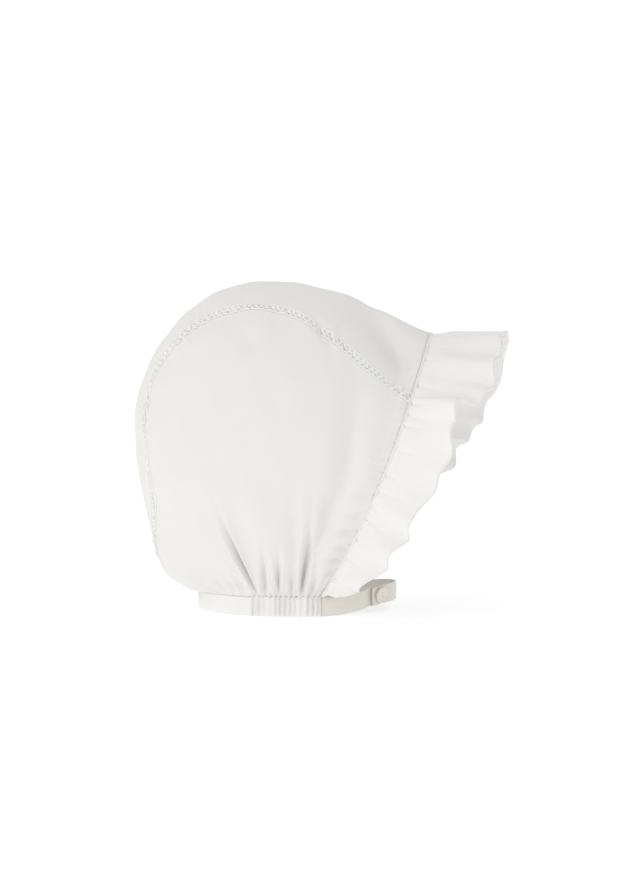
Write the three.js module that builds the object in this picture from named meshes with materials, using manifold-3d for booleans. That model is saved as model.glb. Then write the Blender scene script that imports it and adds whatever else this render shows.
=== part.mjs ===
// A baby's cotton bonnet that stands on its neck edge: a crown panel between two strips of openwork lace,
// two rounded side panels gathered into an elasticated neck band, a gathered ruffle round the face,
// and a chin strap that closes under the face with one button.
// Millimetres. +X points out of the face opening, +Y to the wearer's left, +Z up.
// The shell is drawn in its own frame, with the nape at x = 0 and the foot of the neck band at z = 0.
import * as THREE from "three";
import { mergeVertices } from "three/addons/utils/BufferGeometryUtils.js";
import Module from "manifold-3d";

const wasm = await Module();
wasm.setup();

// Shell
const crownDepth = 160;
const crownRise = 167;
const shellHalfWidth = 63;
const clothWall = 1.2;
const pieceGap = 0.3;
const seamBow = 6.3;
const seamBowSkew = 1.6;
const seamBowShare = 0.3;
const leastNarrowing = 1.001;

// Neck band
const neckRadius = 50;
const neckHalfWidth = 41;
const neckLength = 68;
const napeCorner = 150;
const ringShare = 0.88;
const sewnAtNeck = 0.03;
const sewnAtSeam = 0.02;
const bandHeight = 10;
const bandWall = 2;
const bandProud = 0.6;
const casingLength = 34;
const ruchePitch = 2.6;
const rucheDepth = 0.8;
const bandStepDegrees = 6;

// Lace
const laceWidth = 6;
const laceGap = 0.45;
const laceWall = 1;
const laceCells = 50;
const laceHoleLength = 3.6;
const laceHoleWidth = 2.8;
const laceSlant = 0.9;

// Face seam and ruffle
const seamRadius = 1.1;
const ruffleWidth = 38;
const ruffleWall = 1;
const ruffleWaves = 17;
const waveDepth = 3.2;
const waveGrowth = 1.15;
const waveSettleShare = 0.92;

// Chin strap and button
const strapReach = 38;
const strapHeight = 10;
const strapWall = 1.6;
const strapLift = 5;
const strapTurn = 8;
const strapEndPastButton = 6;
const tabEndPastButton = 6;
const buttonPlace = 39;
const buttonDiameter = 9;
const buttonThickness = 2;
const buttonRimWidth = 1.1;
const buttonRimHeight = 0.6;
const buttonHoleDiameter = 1.3;
const buttonHoleSpacing = 2.4;
const buttonSides = 28;
const buttonHoleSides = 8;

// Sections from the face seam to the nape. along: share of the ridge's length. topX and topZ: where the
// section meets the ridge, in shares of crownDepth from the nape and of crownRise above the band.
// width: share of shellHalfWidth. widest: height share where the section is widest.
// lace: how far down from the ridge the lace crosses it, 1 at the widest place.
const sections = [
  { along: 0.0, topX: 0.783, topZ: 0.828, width: 0.92, widest: 0.5, lace: 0.6 },
  { along: 0.08, topX: 0.624, topZ: 0.896, width: 0.97, widest: 0.49, lace: 0.525 },
  { along: 0.175, topX: 0.434, topZ: 0.971, width: 1.0, widest: 0.48, lace: 0.42 },
  { along: 0.265, topX: 0.249, topZ: 0.999, width: 1.0, widest: 0.48, lace: 0.33 },
  { along: 0.35, topX: 0.076, topZ: 0.965, width: 0.98, widest: 0.48, lace: 0.29 },
  { along: 0.425, topX: -0.052, topZ: 0.883, width: 0.93, widest: 0.48, lace: 0.28 },
  { along: 0.505, topX: -0.156, topZ: 0.755, width: 0.86, widest: 0.48, lace: 0.29 },
  { along: 0.58, topX: -0.211, topZ: 0.613, width: 0.77, widest: 0.48, lace: 0.41 },
  { along: 0.66, topX: -0.209, topZ: 0.449, width: 0.66, widest: 0.46, lace: 0.52 },
  { along: 0.745, topX: -0.18, topZ: 0.287, width: 0.56, widest: 0.44, lace: 0.43 },
  { along: 0.82, topX: -0.15, topZ: 0.157, width: 0.5, widest: 0.42, lace: 0.27 },
  { along: 0.885, topX: -0.115, topZ: 0.066, width: 0.46, widest: 0.35, lace: 0.24 },
  { along: 0.945, topX: -0.065, topZ: 0.015, width: 0.4, widest: 0.25, lace: 0.34 },
  { along: 1.0, topX: 0.0, topZ: 0.0, width: 0.36, widest: 0.2, lace: 0.54 },
];

// Folds and hollows of the cloth. along and across: the middle. wide and tall: the half extents in the same
// shares. lean: how much along changes from the top of the fold to its foot. depth: share of shellHalfWidth.
const gathers = [
  { along: 0.04, across: 0.95, wide: 0.022, tall: 0.07, lean: 0.01, depth: 0.03 },
  { along: 0.098, across: 0.96, wide: 0.02, tall: 0.06, lean: 0.0, depth: 0.03 },
  { along: 0.155, across: 0.92, wide: 0.03, tall: 0.12, lean: -0.005, depth: 0.09 },
  { along: 0.228, across: 0.96, wide: 0.024, tall: 0.06, lean: 0.0, depth: 0.035 },
  { along: 0.3, across: 0.94, wide: 0.028, tall: 0.07, lean: 0.02, depth: 0.05 },
  { along: 0.385, across: 0.94, wide: 0.028, tall: 0.08, lean: 0.035, depth: 0.055 },
  { along: 0.488, across: 0.91, wide: 0.034, tall: 0.13, lean: -0.005, depth: 0.09 },
  { along: 0.575, across: 0.96, wide: 0.03, tall: 0.06, lean: 0.0, depth: 0.035 },
  { along: 0.66, across: 0.95, wide: 0.032, tall: 0.07, lean: -0.01, depth: 0.035 },
  { along: 0.75, across: 0.96, wide: 0.034, tall: 0.07, lean: -0.01, depth: 0.03 },
  { along: 0.84, across: 0.96, wide: 0.034, tall: 0.07, lean: -0.01, depth: 0.025 },
];
const hollows = [
  { along: 0.06, across: 0.18, wide: 0.036, tall: 0.14, lean: -0.024, depth: 0.12 },
  { along: 0.092, across: 0.575, wide: 0.04, tall: 0.17, lean: -0.01, depth: 0.035 },
  { along: 0.118, across: 0.81, wide: 0.035, tall: 0.1, lean: 0.02, depth: 0.035 },
  { along: 0.43, across: 0.83, wide: 0.05, tall: 0.08, lean: 0.0, depth: 0.03 },
];

// The ruffle from the top of the face to its end. place: share of the half seam. width: share of
// ruffleWidth. flare: degrees outwards from straight ahead. swing: degrees up from square to the seam.
const frill = [
  { place: 0.0, width: 0.93, flare: 21, swing: 0 },
  { place: 0.15, width: 1.05, flare: 27, swing: 0 },
  { place: 0.3, width: 1.04, flare: 29, swing: 0 },
  { place: 0.5, width: 0.87, flare: 35, swing: 4 },
  { place: 0.7, width: 0.79, flare: 39, swing: 8 },
  { place: 0.85, width: 0.67, flare: 45, swing: 14 },
  { place: 0.94, width: 0.44, flare: 40, swing: 24 },
  { place: 1.0, width: 0.22, flare: 32, swing: 45 },
];

// Where the ruffle curls further outwards and its edge folds under. place: 0 at its right end, 1 at its left
// end. before and after: half extents in the same share. turn: degrees. under: share of the width.
const curls = [
  { place: 0.2, before: 0.02, after: 0.02, turn: 6, under: 0 },
  { place: 0.336, before: 0.045, after: 0.01, turn: 18, under: 0.12 },
  { place: 0.74, before: 0.13, after: 0.07, turn: -4, under: -0.13 },
  { place: 0.86, before: 0.04, after: 0.05, turn: 9, under: 0 },
];

// How the ruffle's waves crowd and spread, and grow and shrink, along it. size: waves. tall: share of
// waveDepth. start: turns.
const waveSwells = [
  { cycles: 2.6, size: 0.35, tall: 0.25, start: 0.0 },
  { cycles: 5.3, size: 0.22, tall: 0.2, start: 0.16 },
];

// Half of the chin strap's loop seen from above. reach: share of strapReach ahead of the band's end.
// half: share of the half width there.
const strapPlan = [
  { reach: 0.0, half: 1.0 },
  { reach: 0.22, half: 0.89 },
  { reach: 0.5, half: 0.69 },
  { reach: 0.76, half: 0.43 },
  { reach: 0.94, half: 0.2 },
  { reach: 1.0, half: 0.0 },
];

// The button's rounded edge from its back to its rim. inFromRim: share of buttonRimWidth. up: share of
// buttonThickness.
const buttonEdge = [
  { inFromRim: 0.8, up: 0.0 },
  { inFromRim: 0.0, up: 0.45 },
  { inFromRim: 0.3, up: 0.9 },
  { inFromRim: 0.55, up: 1.0 },
];

const panelRows = 30;
const sidePanelColumns = 11;
const crownColumns = 8;
const seamSteps = 48;
const seamSides = 6;
const segmentsPerWave = 8;
const ruffleRows = 3;
const segmentsPerRuche = 4;
const bandRows = 2;
const strapSteps = 26;
const small = 1e-3;

// Smooth curve through one column of a table: cubic pieces whose slopes at a row follow its neighbours.
function column(table, key, name, at) {
  const last = table.length - 1;
  const value = THREE.MathUtils.clamp(at, table[0][key], table[last][key]);
  let row = 0;
  while (row < last - 1 && table[row + 1][key] <= value) row += 1;
  const slope = (i) => {
    const before = table[Math.max(i - 1, 0)];
    const after = table[Math.min(i + 1, last)];
    return (after[name] - before[name]) / (after[key] - before[key]);
  };
  const step = table[row + 1][key] - table[row][key];
  const t = (value - table[row][key]) / step;
  const from = table[row][name];
  const to = table[row + 1][name];
  return (
    (2 * t ** 3 - 3 * t ** 2 + 1) * from +
    (t ** 3 - 2 * t ** 2 + t) * step * slope(row) +
    (3 * t ** 2 - 2 * t ** 3) * to +
    (t ** 3 - t ** 2) * step * slope(row + 1)
  );
}

const degrees = THREE.MathUtils.degToRad;
const ease = (low, high, at) => THREE.MathUtils.smoothstep(at, low, high);

// The neck edge is part of an ellipse seen from above.
const napeAngle = 180;
const faceCorner = THREE.MathUtils.radToDeg(Math.acos((neckLength - neckRadius) / neckRadius));

function neckPoint(angle, outset, z) {
  const turn = degrees(angle);
  return new THREE.Vector3(
    neckRadius + (neckRadius + outset) * Math.cos(turn),
    (neckHalfWidth + outset) * Math.sin(turn),
    z,
  );
}

function neckAngle(along) {
  return faceCorner + (napeCorner - faceCorner) * along;
}

// One section's own numbers.
function sectionAt(along) {
  const base = neckPoint(neckAngle(along), 0, bandHeight + pieceGap);
  const half = Math.max(column(sections, "along", "width", along) * shellHalfWidth, base.y * leastNarrowing);
  return {
    base,
    half,
    topX: column(sections, "along", "topX", along) * crownDepth,
    topZ: base.z + column(sections, "along", "topZ", along) * crownRise,
    widest: column(sections, "along", "widest", along),
    endTurn: Math.PI - Math.asin(base.y / half),
  };
}

const seamTop = sectionAt(0);
const seamLean = Math.atan2(seamTop.topX - seamTop.base.x, seamTop.topZ - seamTop.base.z);
const ahead = new THREE.Vector3(Math.cos(seamLean), 0, -Math.sin(seamLean));

// A point of the plain form. along: 0 at the face seam, 1 at the nape. across: 0 on the ridge,
// 1 at the neck edge of the wearer's left side, -1 at that of the right side.
function formPoint(along, across) {
  const { base, half, topX, topZ, widest, endTurn } = sectionAt(along);
  const turn = Math.abs(across) * endTurn;
  const rise =
    turn < Math.PI / 2
      ? widest + (1 - widest) * Math.cos(turn)
      : widest + (widest * Math.cos(turn)) / Math.abs(Math.cos(endTurn));
  const point = new THREE.Vector3(
    base.x + (topX - base.x) * rise,
    half * Math.sin(turn),
    base.z + (topZ - base.z) * rise,
  );
  const ring = neckPoint(napeAngle + (neckAngle(along) - napeAngle) * Math.abs(across), 0, base.z);
  point.lerp(ring, ease(ringShare, 1, along));
  const bow = seamBow * Math.sin(Math.PI * Math.abs(across) ** seamBowSkew) * (1 - ease(0, seamBowShare, along));
  point.addScaledVector(ahead, bow);
  if (across < 0) point.y = -point.y;
  return point;
}

// How far the cloth is drawn in at a place, in millimetres.
function foldDepth(along, across) {
  const down = Math.abs(across);
  const sewn = ease(0, sewnAtNeck, 1 - down) * ease(0, sewnAtSeam, along);
  let depth = 0;
  for (const fold of [...gathers, ...hollows]) {
    const drop = (down - fold.across) / fold.tall;
    const side = (along - fold.along - fold.lean * drop) / fold.wide;
    depth += fold.depth * shellHalfWidth * Math.exp(-side * side - drop * drop);
  }
  return depth * sewn;
}

// The outward normal of a surface given as a function of two shares.
function normalOf(surface, u, v, outwards) {
  const du = surface(u + small, v).sub(surface(u - small, v));
  const dv = surface(u, v + small).sub(surface(u, v - small));
  return du.cross(dv).normalize().multiplyScalar(outwards);
}

// The shell's surface with its folds, drawn in by inset.
function shellPoint(along, across, inset) {
  const inside = THREE.MathUtils.clamp(along, 2 * small, 1 - 2 * small);
  const level = THREE.MathUtils.clamp(across, -1 + 2 * small, 1 - 2 * small);
  const normal = normalOf(formPoint, inside, level, -1);
  return formPoint(along, across).addScaledVector(normal, -foldDepth(along, across) - inset);
}

// A closed wall between an outer and an inner surface, on a grid of shares.
function wallGeometry(rows, columns, pointAt) {
  const positions = [];
  const index = [];
  const place = (layer, row, col) => (layer * (rows + 1) + row) * (columns + 1) + col;
  for (const layer of [0, 1]) {
    for (let row = 0; row <= rows; row += 1) {
      for (let col = 0; col <= columns; col += 1) {
        positions.push(...pointAt(row / rows, col / columns, layer).toArray());
      }
    }
  }
  const quad = (a, b, c, d) => index.push(a, b, c, a, c, d);
  for (let row = 0; row < rows; row += 1) {
    for (let col = 0; col < columns; col += 1) {
      const corner = (layer, i, j) => place(layer, row + i, col + j);
      quad(corner(0, 0, 0), corner(0, 1, 0), corner(0, 1, 1), corner(0, 0, 1));
      quad(corner(1, 0, 0), corner(1, 0, 1), corner(1, 1, 1), corner(1, 1, 0));
    }
  }
  for (let row = 0; row < rows; row += 1) {
    quad(place(0, row, 0), place(1, row, 0), place(1, row + 1, 0), place(0, row + 1, 0));
    quad(place(0, row, columns), place(0, row + 1, columns), place(1, row + 1, columns), place(1, row, columns));
  }
  for (let col = 0; col < columns; col += 1) {
    quad(place(0, 0, col), place(0, 0, col + 1), place(1, 0, col + 1), place(1, 0, col));
    quad(place(0, rows, col), place(1, rows, col), place(1, rows, col + 1), place(0, rows, col + 1));
  }
  return indexedGeometry(positions, index);
}

// A geometry with its faces turned outwards, whichever way the grid ran.
function indexedGeometry(positions, index) {
  const geometry = new THREE.BufferGeometry();
  geometry.setAttribute("position", new THREE.Float32BufferAttribute(positions, 3));
  geometry.setIndex(index);
  if (signedVolume(geometry) < 0) geometry.setIndex(index.slice().reverse());
  geometry.computeVertexNormals();
  return geometry;
}

function signedVolume(geometry) {
  const points = geometry.getAttribute("position");
  const corners = [0, 1, 2].map(() => new THREE.Vector3());
  const index = geometry.getIndex();
  let volume = 0;
  for (let i = 0; i < index.count; i += 3) {
    corners.forEach((corner, k) => corner.fromBufferAttribute(points, index.getX(i + k)));
    volume += corners[0].dot(corners[1].clone().cross(corners[2])) / 6;
  }
  return volume;
}

// The lace's middle line and its half width, both as shares across the section.
function laceAcross(along) {
  const { endTurn } = sectionAt(along);
  return (column(sections, "along", "lace", along) * Math.PI) / 2 / endTurn;
}

function acrossPerMillimetre(along, across) {
  const step = formPoint(along, across + small).distanceTo(formPoint(along, across - small));
  return (2 * small) / step;
}

function laceEdge(along, offset) {
  const middle = laceAcross(along);
  return middle + offset * acrossPerMillimetre(along, middle);
}

// Where a panel starts, so that it clears the face seam.
function frontShare(across) {
  const reach = seamRadius + pieceGap;
  const step = formPoint(small, across).distanceTo(formPoint(0, across));
  return (reach * small) / step;
}

// A strip of the shell between two lines that run from the face seam to the nape.
function shellStrip(rows, columns, wall, fromAcross, toAcross) {
  return wallGeometry(rows, columns, (u, v, layer) => {
    const guess = THREE.MathUtils.lerp(fromAcross(u), toAcross(u), v);
    const start = frontShare(guess);
    const along = start + (1 - start) * u;
    const across = THREE.MathUtils.lerp(fromAcross(along), toAcross(along), v);
    return shellPoint(along, across, layer * wall);
  });
}

const laceSide = laceWidth / 2 + laceGap;

function crownPanel() {
  const edge = (along) => laceEdge(along, -laceSide);
  return shellStrip(panelRows, crownColumns, clothWall, (along) => -edge(along), edge);
}

function sidePanel(side) {
  const edge = (along) => side * laceEdge(along, laceSide);
  return shellStrip(panelRows, sidePanelColumns, clothWall, edge, () => side);
}

// One strip of insertion lace: two rails joined by slanting bars, cut through between them.
function laceStrip(side) {
  const positions = [];
  const index = [];
  const margin = (laceWidth - laceHoleWidth) / 2 / laceWidth;
  const length = laceLength();
  const hole = laceHoleLength / (length / laceCells);
  const lean = laceSlant / (length / laceCells);
  const put = (u, v, layer) => {
    const offset = THREE.MathUtils.lerp(-laceWidth / 2, laceWidth / 2, v);
    const start = frontShare(side * laceEdge(u, offset));
    const along = start + (1 - start) * u;
    const point = shellPoint(along, side * laceEdge(along, offset), layer * laceWall);
    positions.push(...point.toArray());
    return positions.length / 3 - 1;
  };
  const quad = (a, b, c, d) => index.push(a, b, c, a, c, d);
  const line = (u) => [0, 1].map((layer) => [put(u, 0, layer), put(u, 1, layer)]);
  let before = line(0);
  quad(before[0][0], before[0][1], before[1][1], before[1][0]);
  for (let cell = 0; cell < laceCells; cell += 1) {
    const after = line((cell + 1) / laceCells);
    const slant = cell % 2 ? lean / 2 : -lean / 2;
    const at = (share, tip) => (cell + 0.5 + share * hole + tip * slant) / laceCells;
    const gap = [0, 1].map((layer) => [
      put(at(-0.5, -1), margin, layer),
      put(at(0.5, -1), margin, layer),
      put(at(0.5, 1), 1 - margin, layer),
      put(at(-0.5, 1), 1 - margin, layer),
    ]);
    const frame = [0, 1].map((layer) => [before[layer][0], after[layer][0], after[layer][1], before[layer][1]]);
    for (let k = 0; k < 4; k += 1) {
      const next = (k + 1) % 4;
      quad(frame[0][k], frame[0][next], gap[0][next], gap[0][k]);
      quad(frame[1][k], gap[1][k], gap[1][next], frame[1][next]);
      quad(gap[0][k], gap[0][next], gap[1][next], gap[1][k]);
    }
    quad(before[0][0], before[1][0], after[1][0], after[0][0]);
    quad(before[0][1], after[0][1], after[1][1], before[1][1]);
    before = after;
  }
  quad(before[0][0], before[1][0], before[1][1], before[0][1]);
  return indexedGeometry(positions, index);
}

function laceLength() {
  const points = [];
  for (let row = 0; row <= panelRows; row += 1) {
    const along = row / panelRows;
    points.push(formPoint(along, laceAcross(along)));
  }
  return new THREE.CatmullRomCurve3(points).getLength();
}

// The face seam's line from the right side's neck edge over the ridge to the left side's.
const seamLine = new THREE.CatmullRomCurve3(
  Array.from({ length: seamSteps + 1 }, (_, i) => formPoint(0, (2 * i) / seamSteps - 1)),
);
seamLine.arcLengthDivisions = 8 * seamSteps;
const seamLength = seamLine.getLength();
const seamEndShare = (bandProud + seamRadius) / seamLength;

function circleShape(radius, sides) {
  const corners = Array.from({ length: sides }, (_, i) => {
    const turn = (i / sides) * 2 * Math.PI;
    return new THREE.Vector2(radius * Math.cos(turn), radius * Math.sin(turn));
  });
  return new THREE.Shape(corners);
}

function faceSeam() {
  const points = Array.from({ length: seamSteps + 1 }, (_, i) =>
    seamLine.getPointAt(THREE.MathUtils.lerp(seamEndShare, 1 - seamEndShare, i / seamSteps)),
  );
  return new THREE.ExtrudeGeometry(circleShape(seamRadius, seamSides), {
    steps: seamSteps,
    extrudePath: new THREE.CatmullRomCurve3(points),
  });
}

// A point of the ruffle's middle surface. place: 0 at the right end, 1 at the left end. out: 0 at the seam,
// 1 at the free edge.
function rufflePoint(place, out) {
  const share = THREE.MathUtils.lerp(seamEndShare, 1 - seamEndShare, place);
  const start = seamLine.getPointAt(share);
  const tangent = seamLine.getTangentAt(share);
  const fromTop = Math.abs(2 * place - 1);
  const outwards = tangent.clone().cross(ahead).normalize();
  if (outwards.dot(new THREE.Vector3(0, start.y, start.z - seamTop.topZ / 2)) < 0) outwards.negate();
  const upwards = tangent.clone().multiplyScalar(place < 0.5 ? 1 : -1);
  let flare = degrees(column(frill, "place", "flare", fromTop));
  const swing = degrees(column(frill, "place", "swing", fromTop));
  let width = ruffleWidth * column(frill, "place", "width", fromTop);
  for (const curl of curls) {
    const reach = place < curl.place ? curl.before : curl.after;
    const bend = Math.exp(-(((place - curl.place) / reach) ** 2));
    flare += degrees(curl.turn) * bend;
    width *= 1 - curl.under * bend;
  }
  const flat = ahead.clone().multiplyScalar(Math.cos(swing)).addScaledVector(upwards, Math.sin(swing));
  const direction = flat.clone().multiplyScalar(Math.cos(flare)).addScaledVector(outwards, Math.sin(flare));
  const normal = flat.clone().multiplyScalar(-Math.sin(flare)).addScaledVector(outwards, Math.cos(flare));
  const settle = 1 - ease(waveSettleShare, 1, fromTop);
  const { phase, tall } = waveAt(place);
  const wave = waveDepth * tall * Math.sin(phase) * Math.max(out, 0) ** waveGrowth * settle;
  return start
    .addScaledVector(direction, seamRadius + pieceGap + out * width)
    .addScaledVector(normal, wave);
}

// The waves are uneven, as gathers are.
function waveAt(place) {
  const fullTurn = 2 * Math.PI;
  let waves = ruffleWaves * place;
  let tall = 1;
  for (const swell of waveSwells) {
    const rise = Math.sin(fullTurn * (swell.cycles * place + swell.start));
    waves += swell.size * rise;
    tall += swell.tall * rise;
  }
  return { phase: fullTurn * waves, tall };
}

function ruffle() {
  const columns = ruffleWaves * segmentsPerWave;
  return wallGeometry(columns, ruffleRows, (place, out, layer) => {
    const u = THREE.MathUtils.clamp(place, 2 * small, 1 - 2 * small);
    const v = THREE.MathUtils.clamp(out, 2 * small, 1 - 2 * small);
    const normal = normalOf(rufflePoint, u, v, 1);
    return rufflePoint(place, out).addScaledVector(normal, (layer - 0.5) * ruffleWall);
  });
}

// The band's parts follow the neck ellipse between two angles. side is 1 for the left, -1 for the right.
const bandMiddle = bandProud - bandWall / 2;
const neckArcPerDegree = degrees(1) * ((neckRadius + neckHalfWidth) / 2);
const casingTurn = casingLength / neckArcPerDegree;
const gapTurn = pieceGap / neckArcPerDegree;

function neckBand() {
  const half = napeAngle - (faceCorner + casingTurn + gapTurn);
  const steps = Math.round((2 * half) / bandStepDegrees);
  return wallGeometry(steps, 1, (u, v, layer) => {
    const angle = napeAngle + half * (2 * u - 1);
    return neckPoint(angle, bandMiddle + (0.5 - layer) * bandWall, v * bandHeight);
  });
}

function elasticCasing(side) {
  const ruches = Math.round(casingLength / ruchePitch);
  const steps = ruches * segmentsPerRuche;
  return wallGeometry(steps, bandRows, (u, v, layer) => {
    const angle = faceCorner + gapTurn + (casingTurn - gapTurn) * u;
    const ripple = (rucheDepth / 2) * Math.cos(2 * Math.PI * ruches * u) * Math.sin(Math.PI * v);
    const outset = bandMiddle + (0.5 - layer) * bandWall + (layer ? 0 : ripple);
    const point = neckPoint(angle, outset, v * bandHeight);
    point.y *= side;
    return point;
  });
}

// The strap's loop in plan, from the right end of the band round the front to the left end.
const strapCorner = neckPoint(faceCorner, bandMiddle, 0);

function strapLoop() {
  const half = strapPlan.map(
    ({ reach, half }) => new THREE.Vector3(strapCorner.x + reach * strapReach, -half * strapCorner.y, 0),
  );
  const other = half
    .slice(0, -1)
    .reverse()
    .map((point) => new THREE.Vector3(point.x, -point.y, 0));
  return new THREE.CatmullRomCurve3([...half, ...other], false, "centripetal");
}

const loop = strapLoop();
const loopLength = loop.getLength();
const layerStep = strapWall + pieceGap;

// A point of a strap. run: millimetres along the loop. inset: how far inside the loop's line.
function strapPoint(run, inset, height) {
  const share = THREE.MathUtils.clamp(run / loopLength, 0, 1);
  const point = loop.getPointAt(share);
  const tangent = loop.getTangentAt(share);
  const lift = strapLift * Math.sin(Math.PI * share) ** 2;
  return new THREE.Vector3(point.x - tangent.y * inset, point.y + tangent.x * inset, lift + height);
}

// A strap from one run to another, sliding in by shift(run).
function strapGeometry(from, to, shift) {
  return wallGeometry(strapSteps, 1, (u, v, layer) => {
    const run = THREE.MathUtils.lerp(from, to, u);
    const inset = shift(run) + (layer - 0.5) * strapWall;
    return strapPoint(run, inset, v * strapHeight);
  });
}

const overlapStart = buttonPlace - strapEndPastButton;

function nearStrap() {
  const slide = (run) => layerStep * ease(overlapStart - strapTurn, overlapStart, run);
  return strapGeometry(pieceGap, buttonPlace + tabEndPastButton, slide);
}

function farStrap() {
  return strapGeometry(overlapStart, loopLength - pieceGap, () => 0);
}

function solidOf(geometry) {
  const bare = geometry.index ? geometry.toNonIndexed() : geometry.clone();
  bare.deleteAttribute("normal");
  bare.deleteAttribute("uv");
  const merged = mergeVertices(bare);
  return new wasm.Manifold(
    new wasm.Mesh({
      numProp: 3,
      vertProperties: merged.attributes.position.array,
      triVerts: new Uint32Array(merged.index.array),
    }),
  );
}

function geometryOf(solid) {
  const mesh = solid.getMesh();
  return indexedGeometry(Array.from(mesh.vertProperties), Array.from(mesh.triVerts));
}

// The button: a disc with a raised rim and four holes, its back at y = 0 and its face towards +Y.
function buttonGeometry() {
  const radius = buttonDiameter / 2;
  const face = buttonThickness - buttonRimHeight;
  const profile = [
    new THREE.Vector2(0, 0),
    ...buttonEdge.map(
      ({ inFromRim, up }) => new THREE.Vector2(radius - inFromRim * buttonRimWidth, up * buttonThickness),
    ),
    new THREE.Vector2(radius - buttonRimWidth, face),
    new THREE.Vector2(0, face),
  ];
  let solid = solidOf(new THREE.LatheGeometry(profile, buttonSides));
  const hole = new THREE.CylinderGeometry(
    buttonHoleDiameter / 2,
    buttonHoleDiameter / 2,
    3 * buttonThickness,
    buttonHoleSides,
  );
  for (const [x, z] of [[-1, -1], [-1, 1], [1, -1], [1, 1]]) {
    const half = buttonHoleSpacing / 2;
    solid = solid.subtract(solidOf(hole.clone().translate(x * half, 0, z * half)));
  }
  return geometryOf(solid);
}

const cotton = { color: 0xecebe6, roughness: 0.9, metalness: 0 };
const frillCotton = { color: 0xf0efeb, roughness: 0.9, metalness: 0 };
const laceThread = { color: 0xe8e4d9, roughness: 0.85, metalness: 0 };
const strapCotton = { color: 0xdcd5cb, roughness: 0.9, metalness: 0 };
const shell = { color: 0xe4ddcf, roughness: 0.35, metalness: 0 };

const bonnet = new THREE.Group();

function add(name, geometry, look) {
  const mesh = new THREE.Mesh(geometry, new THREE.MeshStandardMaterial(look));
  mesh.name = name;
  bonnet.add(mesh);
  return mesh;
}

add("crown_panel", crownPanel(), cotton);
add("face_seam", faceSeam(), cotton);
add("ruffle", ruffle(), frillCotton);
add("neck_band", neckBand(), cotton);
for (const [name, side] of [["right", -1], ["left", 1]]) {
  add(`side_panel_${name}`, sidePanel(side), cotton);
  add(`lace_${name}`, laceStrip(side), laceThread);
  add(`elastic_casing_${name}`, elasticCasing(side), cotton);
}
add("chin_strap_right", nearStrap(), strapCotton);
add("chin_strap_left", farStrap(), strapCotton);

// The button lies on the strap's outer face at buttonPlace.
const button = add("button", buttonGeometry(), shell);
const seat = strapPoint(buttonPlace, -strapWall / 2 - pieceGap, strapHeight / 2);
const facing = strapPoint(buttonPlace, -strapWall, strapHeight / 2).sub(seat).normalize();
button.position.copy(seat);
button.quaternion.setFromUnitVectors(new THREE.Vector3(0, 1, 0), facing);

// The origin is below the middle of the length, in the plane between the two sides, on the floor.
const part = new THREE.Group();
part.add(bonnet);
const box = new THREE.Box3().setFromObject(bonnet, true);
const middle = box.getCenter(new THREE.Vector3());
bonnet.position.set(-middle.x, 0, -box.min.z);

export default part;
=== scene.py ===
import math

import bpy
import numpy as np
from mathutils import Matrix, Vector


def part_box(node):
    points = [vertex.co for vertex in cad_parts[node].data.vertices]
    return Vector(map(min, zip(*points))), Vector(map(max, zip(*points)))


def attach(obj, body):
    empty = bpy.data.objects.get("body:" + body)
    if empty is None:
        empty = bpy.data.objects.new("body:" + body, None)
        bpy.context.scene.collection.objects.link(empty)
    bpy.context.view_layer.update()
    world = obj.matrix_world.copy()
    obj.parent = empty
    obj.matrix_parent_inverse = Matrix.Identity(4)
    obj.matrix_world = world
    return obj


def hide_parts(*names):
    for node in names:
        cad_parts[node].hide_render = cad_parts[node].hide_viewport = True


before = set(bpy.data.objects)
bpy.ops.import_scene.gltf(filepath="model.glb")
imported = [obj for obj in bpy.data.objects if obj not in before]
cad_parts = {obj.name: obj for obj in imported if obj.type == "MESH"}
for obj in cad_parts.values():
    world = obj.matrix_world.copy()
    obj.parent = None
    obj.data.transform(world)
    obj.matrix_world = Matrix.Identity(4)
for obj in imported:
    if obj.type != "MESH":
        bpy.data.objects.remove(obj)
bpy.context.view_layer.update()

# Shell
crown_depth = 160
crown_rise = 167
shell_half_width = 63
cloth_wall = 0.8
seam_bow = 6.3
seam_bow_skew = 1.6
seam_bow_share = 0.3
least_narrowing = 1.001

# Neck band
neck_radius = 50
neck_half_width = 41
neck_length = 68
nape_corner = 150
ring_share = 0.88
sewn_at_neck = 0.03
sewn_at_seam = 0.02
band_height = 10
band_wall = 2
band_proud = 0.6
casing_length = 34
ruche_pitch = 2.6
ruche_depth = 1.9
ruche_slant = 0.14
# Gathers above the casings: millimetres high, and their reach as a share of the way from ridge to neck
gather_height = 0.85
gather_reach = 0.034
gather_reach_change = 0.016
# How far a casing's top edge stands above the height of the band
casing_top_lap = 0.9

# Lace
lace_width = 6
lace_cells = 100
lace_thickness = 0.5
lace_hole_length = 1.6
lace_hole_width = 0.9
lace_row_offset = 1.15
rail_offset = 2.65
rail_radius = 0.27
thread_radius = 0.17
rail_twist_width, rail_twist_height = 0.22, 0.14
rail_twist_pitch = 1.9
zigzag_width = 0.5
zigzag_twist_pitch = 1.1
zigzag_strand = 0.2
zigzag_radius = 0.19
lace_pucker_count = 34
lace_pucker_height = 0.55
lace_pucker_reach = 6

# Face seam and ruffle
seam_radius = 1.1
seam_stitch_pitch = 2.2
seam_stitch_rows = (-1.5, 1.35)
seam_stitch_radius = 0.2
seam_pucker_count = 30
seam_pucker_height = 0.65
seam_pucker_reach = 0.03  # share of the ridge's length
ruffle_width = 38
ruffle_wall = 0.7
crease_power = 0.75
crease_count = 34
ruffle_waves = 17
wave_depth = 3.2
wave_growth = 1.15
wave_settle_share = 0.92

# Chin strap and button
strap_reach = 38
strap_height = 10
strap_wall = 1.4
strap_lift = 5
strap_turn = 8
strap_end_past_button = 6
tab_end_past_button = 6
layer_step = 1.9
button_place = 39
button_diameter = 9
button_thickness = 2
button_face = 1.4
button_turn = 12
button_hole_diameter = 1.3
button_hole_spacing = 2.4

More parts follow.
